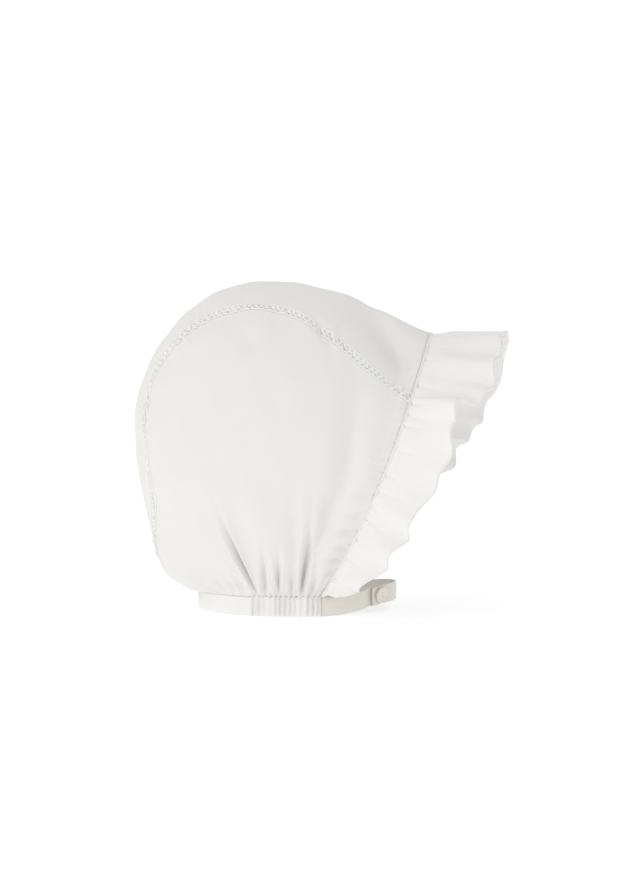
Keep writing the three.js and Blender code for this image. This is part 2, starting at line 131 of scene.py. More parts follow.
piece_gap = 0.3
small = 1e-3
square_corners = ((-1, -1), (1, -1), (1, 1), (-1, 1))

# The wearer's right side, which is near the camera, and the left side
both_sides = (("right", -1), ("left", 1))


def columns(names, rows):
    """A short table as one array for each named column."""
    return dict(zip(names.split(), np.array(rows, float).T))


# Sections from the face seam to the nape. along: share of the ridge's length. top_x and top_z: where the
# section meets the ridge, in shares of crown_depth and crown_rise. width: share of shell_half_width.
# widest: height share of the widest place. lace: how far down the lace crosses, 1 at the widest place.
sections = columns(
    "along top_x top_z width widest lace",
    [
        (0.000, 0.783, 0.828, 0.92, 0.50, 0.600),
        (0.080, 0.624, 0.896, 0.97, 0.49, 0.525),
        (0.175, 0.434, 0.971, 1.00, 0.48, 0.420),
        (0.265, 0.249, 0.999, 1.00, 0.48, 0.330),
        (0.350, 0.076, 0.965, 0.98, 0.48, 0.290),
        (0.425, -0.052, 0.883, 0.93, 0.48, 0.280),
        (0.505, -0.156, 0.755, 0.86, 0.48, 0.290),
        (0.580, -0.211, 0.613, 0.77, 0.48, 0.410),
        (0.660, -0.209, 0.449, 0.66, 0.46, 0.520),
        (0.745, -0.180, 0.287, 0.56, 0.44, 0.430),
        (0.820, -0.150, 0.157, 0.50, 0.42, 0.270),
        (0.885, -0.115, 0.066, 0.46, 0.35, 0.240),
        (0.945, -0.065, 0.015, 0.40, 0.25, 0.340),
        (1.000, 0.000, 0.000, 0.36, 0.20, 0.540),
    ],
)

# Folds and hollows of the cloth. along and across: the middle. wide and tall: half extents in the same
# shares. lean and curve: how much along changes over tall, straight and bending. depth: share of
# shell_half_width. lip: how much the cloth beside the fold stands up, as a share of the depth.
# sharp: 2 for a round hollow, less for a crease. front: width on the side of the face, as a share of wide.
folds = columns(
    "along across wide tall lean curve depth lip sharp front",
    [
        (0.04, 0.95, 0.016, 0.06, 0.01, 0, 0.022, 0.3, 1.5, 1),
        (0.098, 0.96, 0.015, 0.05, 0, 0, 0.03, 0.3, 1.4, 1),
        (0.158, 0.915, 0.014, 0.12, -0.004, 0, 0.09, 0.35, 1.3, 1),
        (0.2, 0.88, 0.035, 0.13, -0.012, 0, 0.044, 0, 2.0, 1),
        (0.228, 0.965, 0.013, 0.045, 0, 0, 0.032, 0.3, 1.4, 1),
        (0.306, 0.945, 0.014, 0.06, 0.02, 0, 0.05, 0.35, 1.3, 1),
        (0.392, 0.94, 0.016, 0.07, 0.035, 0, 0.05, 0.3, 1.5, 1),
        (0.485, 0.9, 0.011, 0.115, -0.006, -0.006, 0.085, 0.35, 1.25, 1),
        (0.43, 0.84, 0.05, 0.075, 0, 0, 0.04, 0, 2.0, 1),
        (0.575, 0.965, 0.02, 0.04, 0, 0, 0.024, 0.3, 1.5, 1),
        (0.66, 0.96, 0.022, 0.045, -0.01, 0, 0.026, 0.3, 1.5, 1),
        (0.75, 0.96, 0.024, 0.05, -0.01, 0, 0.022, 0.3, 1.5, 1),
        (0.84, 0.96, 0.026, 0.06, -0.01, 0, 0.02, 0.3, 1.5, 1),
        (0.056, 0.19, 0.056, 0.135, -0.025, 0.015, 0.185, 0, 1.45, 0.36),
        (0.036, 0, 0.026, 0.1, 0, 0, 0.012, 0, 2.0, 1),
        (0.122, 0, 0.055, 0.07, 0, 0, -0.05, 0, 2.0, 1),
        (0.09, 0.575, 0.03, 0.16, -0.01, 0, 0.055, 0.25, 1.7, 0.7),
        (0.118, 0.81, 0.03, 0.1, 0.02, 0, 0.08, 0.1, 1.8, 1),
        (0.177, 0.27, 0.012, 0.035, -0.009, 0, 0.03, 0.3, 1.4, 1),
        (0.305, 0.33, 0.016, 0.03, 0, 0, 0.014, 0.3, 1.6, 1),
        (0.03, 0.7, 0.03, 0.01, 0.004, 0, 0.022, 0, 1.6, 1),
        (0.028, 0.748, 0.028, 0.009, -0.003, 0, 0.03, 0, 1.6, 1),
        (0.034, 0.792, 0.032, 0.011, 0.004, 0, 0.04, 0, 1.6, 1),
        (0.028, 0.834, 0.028, 0.009, 0, 0, 0.034, 0, 1.6, 1),
        (0.036, 0.872, 0.034, 0.011, -0.004, 0, 0.042, 0, 1.6, 1),
        (0.03, 0.91, 0.028, 0.009, 0, 0, 0.034, 0, 1.6, 1),
    ],
)

# The ruffle from the top of the face to its end. place: share of the half seam. width: share of
# ruffle_width. flare: degrees outwards. swing: degrees up from square to the seam.
frill = columns(
    "place width flare swing",
    [
        (0.00, 0.93, 21, 0),
        (0.15, 1.05, 27, 0),
        (0.30, 1.04, 29, 0),
        (0.50, 0.87, 35, 4),
        (0.70, 0.79, 39, 8),
        (0.85, 0.67, 45, 14),
        (0.94, 0.44, 40, 24),
        (1.00, 0.22, 32, 45),
    ],
)

# Where the ruffle curls further outwards and its edge folds under. place: 0 at its right end, 1 at its left
# end. before and after: half extents. turn: degrees, below 0 where it leans inwards. under: share of the
# width, below 0 where it reaches further.
curls = columns(
    "place before after turn under",
    [
        (0.200, 0.020, 0.020, 6, 0.00),
        (0.336, 0.045, 0.006, 20, 0.13),
        (0.740, 0.130, 0.070, -4, -0.13),
        (0.860, 0.040, 0.050, 9, 0.00),
    ],
)

# How the ruffle's waves crowd and spread, and grow and shrink. size: waves. tall: share of wave_depth.
wave_swells = columns("cycles size tall start", [(2.6, 0.35, 0.25, 0.0), (5.3, 0.22, 0.2, 0.16)])

# How the ruches of the elastic wander. size: ruches. length: millimetres of the band to one radian.
ruche_wander = columns("size length start", [(0.18, 3.1, 0), (0.07, 1.3, 2)])

# Half of the chin strap's loop seen from above, in shares of strap_reach and of its half width.
strap_plan = columns(
    "reach half",
    [(0.0, 1.0), (0.22, 0.89), (0.5, 0.69), (0.76, 0.43), (0.94, 0.2), (1.0, 0.0)],
)

# The button's profile from its back over the rim to the dish, in from its edge and up from its back.
button_profile = columns(
    "inset height",
    [
        (0.9, 0.0),
        (0.135, 0.3),
        (0.0, 0.9),
        (0.15, 1.6),
        (0.45, 1.95),
        (0.75, 1.92),
        (1.0, 1.6),
        (1.25, 1.45),
        (1.8, button_face),
    ],
)


def smooth(low, high, at):
    share = np.clip((at - low) / (high - low), 0, 1)
    return share * share * (3 - 2 * share)


def hump(at, middle, reach):
    """1 at the middle, fading to 0 on both sides."""
    return np.exp(-(((at - middle) / reach) ** 2))


def cubic(t, start, leaving, end, arriving):
    """From start to end as t goes from 0 to 1, with the slopes leaving and arriving."""
    return (
        (2 * t**3 - 3 * t**2 + 1) * start
        + (t**3 - 2 * t**2 + t) * leaving
        + (3 * t**2 - 2 * t**3) * end
        + (t**3 - t**2) * arriving
    )


def column(table, key, name, at):
    """A smooth curve through one column of a table, whose slopes at a row follow its neighbours."""
    x, y = table[key], table[name]
    last = len(x) - 1
    rows = np.arange(last + 1)
    before, after = np.maximum(rows - 1, 0), np.minimum(rows + 1, last)
    slope = (y[after] - y[before]) / (x[after] - x[before])
    at = np.clip(at, x[0], x[-1])
    row = np.clip(np.searchsorted(x, at, side="right") - 1, 0, last - 1)
    step = x[row + 1] - x[row]
    return cubic((at - x[row]) / step, y[row], step * slope[row], y[row + 1], step * slope[row + 1])


def vectors(x, y, z):
    return np.stack(np.broadcast_arrays(x, y, z), axis=-1).astype(float)


def unit(v):
    return v / np.maximum(np.linalg.norm(v, axis=-1, keepdims=True), 1e-12)


def run_along(points):
    """The distance of each point of a line from its start."""
    return np.concatenate([[0], np.cumsum(np.linalg.norm(np.diff(points, axis=0), axis=-1))])


def at_run(run, line_run, line):
    """Values of a line's points at some distances along it."""
    return [np.interp(run, line_run, line[:, k]) for k in range(line.shape[1])]


swell_waves = 7


def swell(points, wavelength, seed):
    """Smooth seeded unevenness between about -1 and 1 of a field of points in millimetres."""
    rng = np.random.default_rng(seed)
    total = 0
    for _ in range(swell_waves):
        direction = unit(rng.normal(size=3))
        size = 2 * math.pi / (wavelength * rng.uniform(0.7, 1.5))
        total = total + np.sin(points @ direction * size + rng.uniform(0, 2 * math.pi))
    return total / math.sqrt(swell_waves)


# The neck edge is part of an ellipse seen from above. Its angles are in degrees.
nape_angle = 180
face_corner = math.degrees(math.acos((neck_length - neck_radius) / neck_radius))


def neck_point(angle, outset, z):
    turn = np.radians(angle)
    x = neck_radius + (neck_radius + outset) * np.cos(turn)
    return vectors(x, (neck_half_width + outset) * np.sin(turn), z)


def neck_angle(along):
    return face_corner + (nape_corner - face_corner) * along


def section_at(along):
    """The neck edge, half width, ridge, widest place and lower end of the section at a place."""
    width, top_x, top_z, widest = (
        column(sections, "along", name, along) for name in ("width", "top_x", "top_z", "widest")
    )
    base = neck_point(neck_angle(along), 0, band_height + piece_gap)
    half = np.maximum(width * shell_half_width, base[..., 1] * least_narrowing)
    end_turn = math.pi - np.arcsin(base[..., 1] / half)
    return base, half, top_x * crown_depth, base[..., 2] + top_z * crown_rise, widest, end_turn


seam_base, _, seam_top_x, seam_top_z, _, _ = section_at(np.array(0.0))
seam_lean = math.atan2(seam_top_x - seam_base[0], seam_top_z - seam_base[2])
ahead = np.array([math.cos(seam_lean), 0, -math.sin(seam_lean)])


def form_point(along, across):
    """A point of the plain form. along: 0 at the face seam, 1 at the nape. across: 0 on the ridge, 1 at the
    neck edge of the wearer's left side, -1 at that of the right side."""
    along, across = np.broadcast_arrays(np.asarray(along, float), np.asarray(across, float))
    base, half, top_x, top_z, widest, end_turn = section_at(along)
    down = np.abs(across)
    turn = down * end_turn
    above = widest + (1 - widest) * np.cos(turn)
    below = widest + widest * np.cos(turn) / np.abs(np.cos(end_turn))
    rise = np.where(turn < math.pi / 2, above, below)
    point = vectors(
        base[..., 0] + (top_x - base[..., 0]) * rise,
        half * np.sin(turn),
        base[..., 2] + (top_z - base[..., 2]) * rise,
    )
    ring = neck_point(nape_angle + (neck_angle(along) - nape_angle) * down, 0, base[..., 2])
    blend = smooth(ring_share, 1, along)[..., None]
    point = point + (ring - point) * blend
    bow = seam_bow * np.sin(math.pi * down**seam_bow_skew) * (1 - smooth(0, seam_bow_share, along))
    point = point + ahead * bow[..., None]
    point[..., 1] *= np.where(across < 0, -1, 1)
    return point


# How far from a fold's middle the cloth beside it stands up most, in the fold's half extents
lip_place = 1.9


def fold_depth(along, across):
    """How far the cloth is drawn in by its folds, in millimetres."""
    down = np.abs(across)
    depth = np.zeros(np.broadcast(along, across).shape)
    for a, c, wide, tall, lean, curve, deep, lip, sharp, front in zip(*folds.values()):
        drop = (down - c) / tall
        side = (along - a - lean * drop - curve * (drop**2 - 1)) / wide
        side = np.where(side < 0, side / front, side)
        lips = lip * (hump(side, lip_place, 1) + hump(side, -lip_place, 1))
        dip = np.exp(-(np.abs(side) ** sharp)) - lips
        depth += deep * shell_half_width * dip * np.exp(-drop * drop)
    return depth * smooth(0, sewn_at_neck, 1 - down) * smooth(0, sewn_at_seam, along)


def normal_of(surface, u, v):
    du = surface(u + small, v) - surface(u - small, v)
    dv = surface(u, v + small) - surface(u, v - small)
    return unit(np.cross(du, dv))


def lace_across(along):
    end_turn = section_at(along)[-1]
    return column(sections, "along", "lace", along) * math.pi / 2 / end_turn


def across_per_millimetre(along, across):
    step = form_point(along, across + small) - form_point(along, across - small)
    return 2 * small / np.linalg.norm(step, axis=-1)


def lace_edge(along, offset):
    middle = lace_across(along)
    return middle + offset * across_per_millimetre(along, middle)


neck_arc_per_degree = math.radians(1) * (neck_radius + neck_half_width) / 2
neck_arc = (nape_corner - face_corner) * neck_arc_per_degree
casing_share = casing_length / neck_arc


def ruche_turn(run, level=0.5):
    """How many ruches of the elastic lie before a place, run millimetres from the face corner."""
    turn = run / ruche_pitch
    for size, length, start in zip(*ruche_wander.values()):
        turn = turn + size * np.sin(run / length + start)
    return turn + ruche_slant * (level - 0.5)


def neck_gathers(along, neck_distance):
    """Fine pleats that rise from the elastic casings, and hardly from the plain band."""
    elastic = 1 - 0.8 * smooth(casing_share - 0.03, casing_share + 0.05, along)
    reach = gather_reach + gather_reach_change * np.sin(2 * math.pi * 6.3 * along + 1)
    pleats = np.cos(2 * math.pi * ruche_turn(along * neck_arc))
    return gather_height * pleats * np.exp(-neck_distance / reach) * elastic


def lace_puckers(along, down):
    """Puckers of the panels along the lace, and the rolled seam beside it."""
    middle = lace_across(along)
    from_lace = np.abs(down - middle) / across_per_millimetre(along, middle) - lace_width / 2
    from_lace = np.maximum(from_lace, 0)
    wander = 0.9 * np.sin(2 * math.pi * 5.1 * along)
    step = 0.2 * np.sign(down - middle)
    pucker = np.sin(2 * math.pi * (along * lace_pucker_count + wander + step))
    uneven = 0.6 + 0.4 * np.sin(2 * math.pi * 7.3 * along + 1.5)
    fade = np.exp(-from_lace / lace_pucker_reach) * (1 - smooth(0.9, 1, along))
    roll = 0.16 * hump(from_lace, 0.7, 0.5) - 0.12 * hump(from_lace, 1.8, 0.5)
    return lace_pucker_height * uneven * pucker * fade + roll


def seam_puckers(along, down):
    """Puckers that run back from the face seam, deeper lower down."""
    pucker = np.sin(2 * math.pi * (down * seam_pucker_count + np.sin(2 * math.pi * 4.7 * down)))
    lower = 0.4 + 0.6 * smooth(0.55, 0.75, down)
    fade = np.exp(-along / seam_pucker_reach) * smooth(0, 0.004, along)
    return seam_pucker_height * pucker * lower * fade


def relief(along, across, place):
    """Gathers, puckers and soft unevenness of the sewn cloth, in millimetres outwards."""
    down = np.abs(across)
    neck_distance = 1 - down
    soft = 0.6 * swell(place, wavelength=55, seed=3) + 0.26 * swell(place, wavelength=21, seed=4)
    calm = smooth(0, 0.05, along) * smooth(0, 0.04, neck_distance)
    sewn = neck_gathers(along, neck_distance) + lace_puckers(along, down) + seam_puckers(along, down)
    return sewn + soft * calm


def shell_point(along, across, outset):
    """The shell's surface with its folds and relief, moved outwards by outset."""
    inside = np.clip(along, 2 * small, 1 - 2 * small)
    level = np.clip(across, -1 + 2 * small, 1 - 2 * small)
    normal = -normal_of(form_point, inside, level)
    plain = form_point(along, across)
    out = relief(along, across, plain) - fold_depth(along, across) + outset
    return plain + normal * out[..., None]


# Meshes

# How far the nape lies from the origin of the solids
nape_shift = -band_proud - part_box("neck_band")[0][0] * 1000


def to_metres(points):
    return (points - np.array([nape_shift, 0, 0])) / 1000


def place_object(name, data):
    placed = bpy.data.objects.new(name, data)
    bpy.context.scene.collection.objects.link(placed)
    return placed


def aim(thing, direction):
    thing.rotation_mode = "QUATERNION"
    thing.rotation_quaternion = Vector(direction).to_track_quat("-Z", "Y")


def make_piece(name, points, faces, material, replaces=(), uv=None):
    """A smooth-shaded mesh that rides on the model. uv: one pair in millimetres for each vertex."""
    mesh = bpy.data.meshes.new(name)
    mesh.from_pydata(to_metres(points).tolist(), [], [list(face) for face in faces])
    mesh.polygons.foreach_set("use_smooth", [True] * len(mesh.polygons))
    if uv is not None:
        layer = mesh.uv_layers.new(name="cloth")
        corner = np.empty(len(mesh.loops), int)
        mesh.loops.foreach_get("vertex_index", corner)
        layer.data.foreach_set("uv", np.asarray(uv, float)[corner].ravel())
    mesh.materials.append(material)
    mesh.update()
    piece = place_object(name, mesh)
    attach(piece, "root")
    if replaces:
        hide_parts(*replaces)
    return piece


def grid_faces(rows, cols, first=0, flip=False):
    r, c = np.meshgrid(np.arange(rows - 1), np.arange(cols - 1), indexing="ij")
    a = (first + r * cols + c).ravel()
    quads = np.stack([a, a + cols, a + cols + 1, a + 1], axis=1)
    return quads[:, ::-1] if flip else quads


def wall(outer, inner):
    """The vertices and faces of a closed sheet between two grids of points."""
    rows, cols = outer.shape[:2]
    count = rows * cols
    points = np.concatenate([outer.reshape(-1, 3), inner.reshape(-1, 3)])
    index = np.arange(count).reshape(rows, cols)
    rim = np.concatenate([index[0], index[1:, -1], index[-1, -2::-1], index[-2:0:-1, 0]])
    after = np.roll(rim, -1)
    sides = np.stack([rim, after, after + count, rim + count], axis=1)
    faces = np.concatenate([grid_faces(rows, cols), grid_faces(rows, cols, count, True), sides])
    if signed_volume(points, faces) < 0:
        faces = faces[:, ::-1]
    return points, faces


def signed_volume(points, faces):
    a, b, c, d = (points[faces[:, k]] for k in range(4))
    return float((a * np.cross(b, c)).sum() + (a * np.cross(c, d)).sum())


def cloth_uv(outer):
    """Distances along the cloth in its two directions, for both faces of a wall."""

    def run(points, axis):
        step = np.linalg.norm(np.diff(points, axis=axis), axis=-1)
        start = np.zeros_like(np.take(step, [0], axis=axis))
        return np.cumsum(np.concatenate([start, step], axis=axis), axis=axis)

    u = np.broadcast_to(run(outer, 0).mean(axis=1, keepdims=True), outer.shape[:2])
    v = run(outer, 1)
    pair = np.stack([u, v - v.mean(axis=1, keepdims=True)], axis=-1).reshape(-1, 2)
    return np.concatenate([pair, pair])


def cloth_piece(name, outer, inner, material, replaces=()):
    points, faces = wall(outer, inner)
    return make_piece(name, points, faces, material, replaces, cloth_uv(outer))


def sweep_faces(rows, cols, first=0):
    """Faces of a closed tube of rows rings of cols points each, with its two ends."""
    r, c = np.meshgrid(np.arange(rows - 1), np.arange(cols), indexing="ij")
    after = (c + 1) % cols
    a, b = first + r * cols + c, first + r * cols + after
    quads = np.stack([a, b, b + cols, a + cols], axis=-1).reshape(-1, 4)
    last = first + (rows - 1) * cols
    ends = [list(range(first + cols - 1, first - 1, -1)), list(range(last, last + cols))]
    return quads.tolist() + ends


def tubes(threads, sides=6, flat=1.0):
    """Closed tubes. threads: a path of points with outward vectors and a radius for each."""
    points, faces, count = [], [], 0
    turn = np.arange(sides) * 2 * math.pi / sides
    c, s = np.cos(turn)[None, :, None], np.sin(turn)[None, :, None]
    for path, out, radius in threads:
        tangent = unit(np.gradient(path, axis=0))
        side = unit(np.cross(tangent, out))
        up = np.cross(side, tangent)
        width = np.broadcast_to(radius, (len(path),))[:, None, None]
        ring = path[:, None] + width * (side[:, None] * c + flat * up[:, None] * s)
        points.append(ring.reshape(-1, 3))
        faces += sweep_faces(len(path), sides, count)
        count += ring.shape[0] * sides
    return np.concatenate(points), faces


# Materials

def set_inputs(node, values):
    for name, value in values.items():
        node.inputs[name].default_value = value


def principled(name, colour, roughness, sheen=0.0):
    material = bpy.data.materials.new(name)
    material.use_nodes = True
    nodes = material.node_tree.nodes
    shader = nodes["Principled BSDF"]
    shine = {"Sheen Weight": sheen, "Sheen Roughness": 0.6, "Specular IOR Level": 0.25}
    set_inputs(shader, {"Base Color": (*colour, 1), "Roughness": roughness, **shine})
    return material, nodes, material.node_tree.links, shader


def add_node(nodes, kind, **values):
    node = nodes.new(kind)
    for key, value in values.items():
        if key in node.inputs:
            node.inputs[key].default_value = value
        else:
            setattr(node, key, value)
    return node


weave_pitch = 0.42
slub_stretches = ((0.05, 1.6, 1), (1.6, 0.05, 1))
slub_height = 0.7


def add_bump(nodes, links, shader, height, strength, distance):
    bump = add_node(nodes, "ShaderNodeBump", Strength=strength, Distance=distance)
    links.new(height, bump.inputs["Height"])
    links.new(bump.outputs["Normal"], shader.inputs["Normal"])


def add_cloud(nodes, links, shader, place, colours, **values):
    """Two colours mixed by soft noise."""
    cloud = add_node(nodes, "ShaderNodeTexNoise", **values)
    links.new(place, cloud.inputs["Vector"])
    mix = add_node(nodes, "ShaderNodeMix", data_type="RGBA")
    set_inputs(mix, {socket: (*colour, 1) for socket, colour in zip("AB", colours)})
    links.new(cloud.outputs["Fac"], mix.inputs["Factor"])
    links.new(mix.outputs["Result"], shader.inputs["Base Color"])


def cotton_material(name, colour, shade):
    """Fine plain weave with uneven threads."""
    material, nodes, links, shader = principled(name, colour, roughness=0.92, sheen=0.25)
    place = add_node(nodes, "ShaderNodeUVMap", uv_map="cloth").outputs["UV"]
    weave = add_node(nodes, "ShaderNodeMath", operation="MAXIMUM")
    bands = {"Scale": 2 * math.pi / (20 * weave_pitch), "Distortion": 0.6, "Detail Scale": 2.0}
    for socket, direction in enumerate("XY"):
        wave = add_node(nodes, "ShaderNodeTexWave", bands_direction=direction)
        set_inputs(wave, bands)
        links.new(place, wave.inputs["Vector"])
        links.new(wave.outputs["Fac"], weave.inputs[socket])
    slub = add_node(nodes, "ShaderNodeMath", operation="ADD")
    for socket, stretch in enumerate(slub_stretches):
        mapping = add_node(nodes, "ShaderNodeMapping", Scale=stretch)
        noise = add_node(nodes, "ShaderNodeTexNoise", Scale=1.0, Detail=3.0)
        links.new(place, mapping.inputs["Vector"])
        links.new(mapping.outputs["Vector"], noise.inputs["Vector"])
        links.new(noise.outputs["Fac"], slub.inputs[socket])
    height = add_node(nodes, "ShaderNodeMath", operation="MULTIPLY_ADD")
    height.inputs[1].default_value = slub_height
    links.new(slub.outputs["Value"], height.inputs[0])
    links.new(weave.outputs["Value"], height.inputs[2])
    add_bump(nodes, links, shader, height.outputs["Value"], strength=0.35, distance=0.00008)
    add_cloud(nodes, links, shader, place, (colour, shade), Scale=0.03, Detail=4.0)
    return material


def thread_material(name, colour):
    material, nodes, links, shader = principled(name, colour, roughness=0.8, sheen=0.3)
    place = add_node(nodes, "ShaderNodeTexCoord")
    noise = add_node(nodes, "ShaderNodeTexNoise", Scale=2500.0, Detail=2.0)
    links.new(place.outputs["Object"], noise.inputs["Vector"])
    add_bump(nodes, links, shader, noise.outputs["Fac"], strength=0.4, distance=0.0001)
    return material


def button_material(name, colour, dark):
    material, nodes, links, shader = principled(name, colour, roughness=0.28)
    set_inputs(shader, {"Coat Weight": 0.3, "Coat Roughness": 0.15, "Specular IOR Level": 0.5})
    place = add_node(nodes, "ShaderNodeTexCoord").outputs["Object"]
    add_cloud(nodes, links, shader, place, (colour, dark), Scale=260.0, Detail=3.0, Distortion=1.2)
    return material


cotton = cotton_material("cotton", (0.83, 0.82, 0.795), (0.80, 0.79, 0.755))
frill_cotton = cotton_material("frill_cotton", (0.89, 0.875, 0.86), (0.865, 0.85, 0.825))
band_cotton = cotton_material("band_cotton", (0.87, 0.86, 0.84), (0.845, 0.83, 0.80))
# The strap's cotton: the cloth's own off-white, made darker and more beige by painted shade of the ruffle
# above the strap.
strap_cotton = cotton_material("strap_cotton", (0.795, 0.765, 0.705), (0.755, 0.725, 0.66))
lace_thread = thread_material("lace_thread", (0.91, 0.905, 0.88))
sewing_thread = thread_material("sewing_thread", (0.87, 0.86, 0.82))
shell_button = button_material("shell_button", (0.85, 0.81, 0.745), (0.77, 0.725, 0.65))


# Shell panels

panel_rows = 200
side_columns = 150
crown_columns = 90
panel_start = 0.002
panel_lap = 0.15
# Power by which a panel's columns crowd towards the lace
column_crowding = 1.35


def panel(name, shares, from_across, to_across, replaces):
    along = np.linspace(panel_start, 1, panel_rows + 1)[:, None]
    across = from_across(along) + (to_across(along) - from_across(along)) * shares[None, :]
    outer = shell_point(along, across, 0)
    inner = shell_point(along, across, -cloth_wall)
    return cloth_piece(name, outer, inner, cotton, replaces)


def shell_panels():
    edge = lace_width / 2 + panel_lap
    even = np.linspace(-1, 1, crown_columns + 1)
    both_ends = 0.5 + 0.5 * np.sign(even) * (1 - (1 - np.abs(even)) ** column_crowding)
    one_end = np.linspace(0, 1, side_columns + 1) ** column_crowding
    crown = panel(
        "crown_cloth",
        both_ends,
        lambda a: -lace_edge(a, -edge),
        lambda a: lace_edge(a, -edge),
        ["crown_panel"],
    )
    for name, side in both_sides:
        cloth = panel(
            f"side_cloth_{name}",
            one_end,
            lambda a, side=side: side * lace_edge(a, edge),
            lambda a, side=side: side * np.ones_like(a),
            [f"side_panel_{name}"],
        )


# Lace: a tape with two rows of small oval holes, a twisted cord along each edge, a zigzag thread between
# the rows and slanting threads between the holes.

lace_samples = 1200
hole_steps = 3
# From the edge of a cell to its hole. inwards: share of the way. lift: the raised rim of the hole.
hole_rim = [(0.0, 0.0), (0.5, 0.0), (0.85, 0.14), (1.0, 0.0)]


def cell_outline():
    """Points round a square from -1 to 1, with the matching directions round its hole."""
    side = np.linspace(-1, 1, hole_steps, endpoint=False)
    one = np.ones(hole_steps)
    pairs = ((side, -one), (one, side), (-side, one), (-one, -side))
    square = np.concatenate([np.stack(pair, axis=1) for pair in pairs])
    return square, unit(square)


def tape_row(on_strip, length, row):
    """One row of the tape's cells with their holes, as a closed mesh of shared corners."""
    square, oval = cell_outline()
    pitch = length / lace_cells
    # The cells of the two rows stand half a pitch apart
    cells = np.arange(lace_cells if row > 0 else lace_cells - 1)
    centre = (cells + (0.5 if row > 0 else 1.0)) * pitch
    size = 1 + 0.12 * np.sin(2.7 * cells + row)
    rim = (square * [pitch / 2, lace_row_offset])[None]
    hole = oval[None] * [lace_hole_length / 2, lace_hole_width / 2] * size[:, None, None]
    rings = hole_rim + [(inwards, -lace_thickness) for inwards, _ in reversed(hole_rim)]
    layers = []
    for inwards, lift in rings:
        offset = rim + (hole - rim) * inwards
        distance = centre[:, None] + offset[..., 0]
        beside = row * lace_row_offset + offset[..., 1]
        layers.append(on_strip(distance, beside, np.full(distance.shape, lift))[0])
    points = np.stack(layers, axis=1).reshape(-1, 3)
    faces = cell_faces(cells, len(rings), len(square))
    _, where, shared = np.unique(points.round(5), axis=0, return_index=True, return_inverse=True)
    faces = shared.reshape(-1)[faces]
    points = points[where]
    return points, faces if signed_volume(points, faces) > 0 else faces[:, ::-1]


def cell_faces(cells, rings, corners):
    """Faces of a row of cells, without the walls between one cell and the next."""
    cell, ring, corner = np.meshgrid(cells, np.arange(rings), np.arange(corners), indexing="ij")
    next_ring, next_corner = (ring + 1) % rings, (corner + 1) % corners

    def at(r, c):
        return (cell * rings + r) * corners + c

    around = ((ring, corner), (ring, next_corner), (next_ring, next_corner), (next_ring, corner))
    faces = np.stack([at(r, c) for r, c in around], axis=-1)
    side = corner // hole_steps
    first_end = (cell == cells[0]) & (side == 3)
    last_end = (cell == cells[-1]) & (side == 1)
    return faces[(ring < rings - 1) | (side % 2 == 0) | first_end | last_end]


def lace_strip(name, side, replaces):
    along = np.linspace(0.003, 0.997, lace_samples)
    run = run_along(shell_point(along, side * lace_across(along), 0))
    length = run[-1]
    pitch = length / lace_cells

    def on_strip(distance, offset, lift):
        share = np.interp(distance, run, along)
        across = side * lace_edge(share, offset)
        normal = -normal_of(form_point, share, across)
        return shell_point(share, across, 0) + normal * np.asarray(lift)[..., None], normal

    threads = []

    def thread(distance, offset, lift, radius):
        threads.append((*on_strip(distance, offset, lift), radius))

    whole = np.linspace(0, length, 800)
    for edge in (-1, 1):
        for phase in (0, math.pi):
            twist = 2 * math.pi * whole / rail_twist_pitch + phase
            offset = edge * rail_offset + rail_twist_width * np.cos(twist)
            thread(whole, offset, 0.12 + rail_twist_height * np.sin(twist), rail_radius)
    for strand in (-zigzag_strand, zigzag_strand):
        offset = zigzag_width * np.sin(2 * math.pi * whole / pitch) + strand
        twist = 2 * math.pi * whole / zigzag_twist_pitch + 8 * strand
        thread(whole, offset, 0.1 + 0.1 * np.cos(twist), zigzag_radius)
    share = np.linspace(0, 1, 5)
    for cell in range(1, lace_cells):
        for edge in (-1, 1):
            distance = cell * pitch + 0.5 * (share - 0.5) * (1 if cell % 2 else -1)
            offset = edge * (0.3 + (rail_offset - 0.3) * share)
            thread(distance, offset, 0.08 + 0.1 * np.sin(math.pi * share), thread_radius)
    points, faces = tubes(threads, sides=5)
    for row in (-1, 1):
        more, quads = tape_row(on_strip, length, row)
        faces += (quads + len(points)).tolist()
        points = np.concatenate([points, more])
    make_piece(name, points, faces, lace_thread, replaces)


# The face seam's line from the right side's neck edge over the ridge to the left side's.
seam_samples = 2001
seam_points = form_point(0.0, np.linspace(-1, 1, seam_samples))
seam_run = run_along(seam_points)
seam_length = seam_run[-1]
seam_tangents = unit(np.gradient(seam_points, axis=0))
seam_end_share = (band_proud + seam_radius) / seam_length


def seam_at(place):
    """Points and directions of the face seam. place: 0 at its right end, 1 at its left end."""
    share = seam_end_share + (1 - 2 * seam_end_share) * place
    run = share * seam_length
    point = np.stack(at_run(run, seam_run, seam_points), axis=-1)
    return point, unit(np.stack(at_run(run, seam_run, seam_tangents), axis=-1))


def outward_from(point, tangent):
    """Square to the seam and away from the middle of the face."""
    out = unit(np.cross(tangent, ahead))
    level = out[..., 1] * point[..., 1] + out[..., 2] * (point[..., 2] - seam_top_z / 2)
    return out * np.where(level < 0, -1, 1)[..., None]


def face_seam():
    place = np.linspace(0, 1, 700)
    point, tangent = seam_at(place)
    out = outward_from(point, tangent)
    pinch = 1 + 0.12 * np.sin(2 * math.pi * place * seam_length / seam_stitch_pitch)
    radius = (seam_radius - 0.1) * pinch
    points, faces = tubes([(point - out * 0.1, out, radius)], sides=12, flat=0.85)
    uv = np.zeros((len(points), 2))
    make_piece("face_seam_welt", points, faces, cotton, ["face_seam"], uv)


